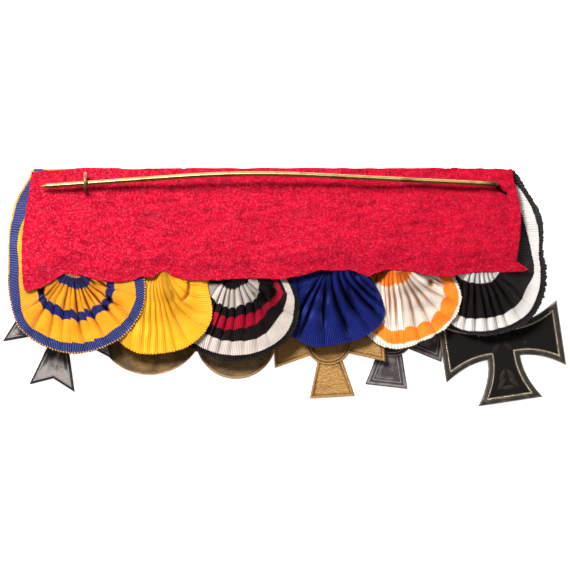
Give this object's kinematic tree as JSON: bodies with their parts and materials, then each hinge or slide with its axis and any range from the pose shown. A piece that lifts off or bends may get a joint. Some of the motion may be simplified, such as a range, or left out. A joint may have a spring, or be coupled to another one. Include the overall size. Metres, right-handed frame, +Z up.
{
  "type": "mounted medal group",
  "caption": "Court-mounted medals and crosses on pleated ribbons, seen from the felt back, with a long brass pin and catch ring.",
  "frame": {"origin": "centre of the overall box, on the surface that the group lies on face down", "axes": "+X along the bar, to the right as seen from its back; +Y towards the bar's top edge; +Z up through the felt back"},
  "size_m": [0.2016, 0.0852, 0.0166],
  "materials": {
    "felt_red": "felted wool, matt",
    "felt_inner": "felted wool, matt",
    "brass": "drawn wire, satin",
    "ring_steel": "plain wire",
    "ribbon_orange_blue": "ribbed silk",
    "ribbon_yellow": "ribbed silk",
    "ribbon_black_white_red": "ribbed silk",
    "ribbon_blue": "ribbed silk",
    "ribbon_cream_orange": "ribbed silk",
    "ribbon_black_white": "ribbed silk",
    "silver": "struck, tarnished",
    "bronze_dark": "struck, dark patina",
    "bronze": "struck, worn patina",
    "gilt": "matt gilt",
    "grey_silver": "oxidised",
    "frame_silver": "tarnished, beaded",
    "black_iron": "blackened"
  },
  "bodies": {
    "root": {"felt_back": "felt_red", "felt_core": "felt_inner", "pin_wire": "brass", "catch_ring": "brass", "ribbon_strip_1": "ribbon_orange_blue", "ribbon_strip_2": "ribbon_yellow", "ribbon_strip_3": "ribbon_black_white_red", "ribbon_strip_4": "ribbon_blue", "ribbon_strip_5": "ribbon_cream_orange", "ribbon_strip_6": "ribbon_black_white", "ribbon_fan_1": "ribbon_orange_blue", "ribbon_fan_2": "ribbon_yellow", "ribbon_fan_3": "ribbon_black_white_red", "ribbon_fan_4": "ribbon_blue", "ribbon_fan_5": "ribbon_cream_orange", "ribbon_fan_6": "ribbon_black_white", "swallowtail_cross": "silver", "large_disc": "bronze_dark", "small_disc": "bronze", "gilt_cross": "gilt", "grey_cross": "grey_silver", "black_cross_frame": "frame_silver", "black_cross_core": "black_iron", "jump_ring_1": "ring_steel", "jump_ring_2": "ring_steel", "jump_ring_3": "ring_steel", "jump_ring_4": "ring_steel", "jump_ring_5": "ring_steel", "jump_ring_6": "ring_steel"}
  },
  "joints": []
}
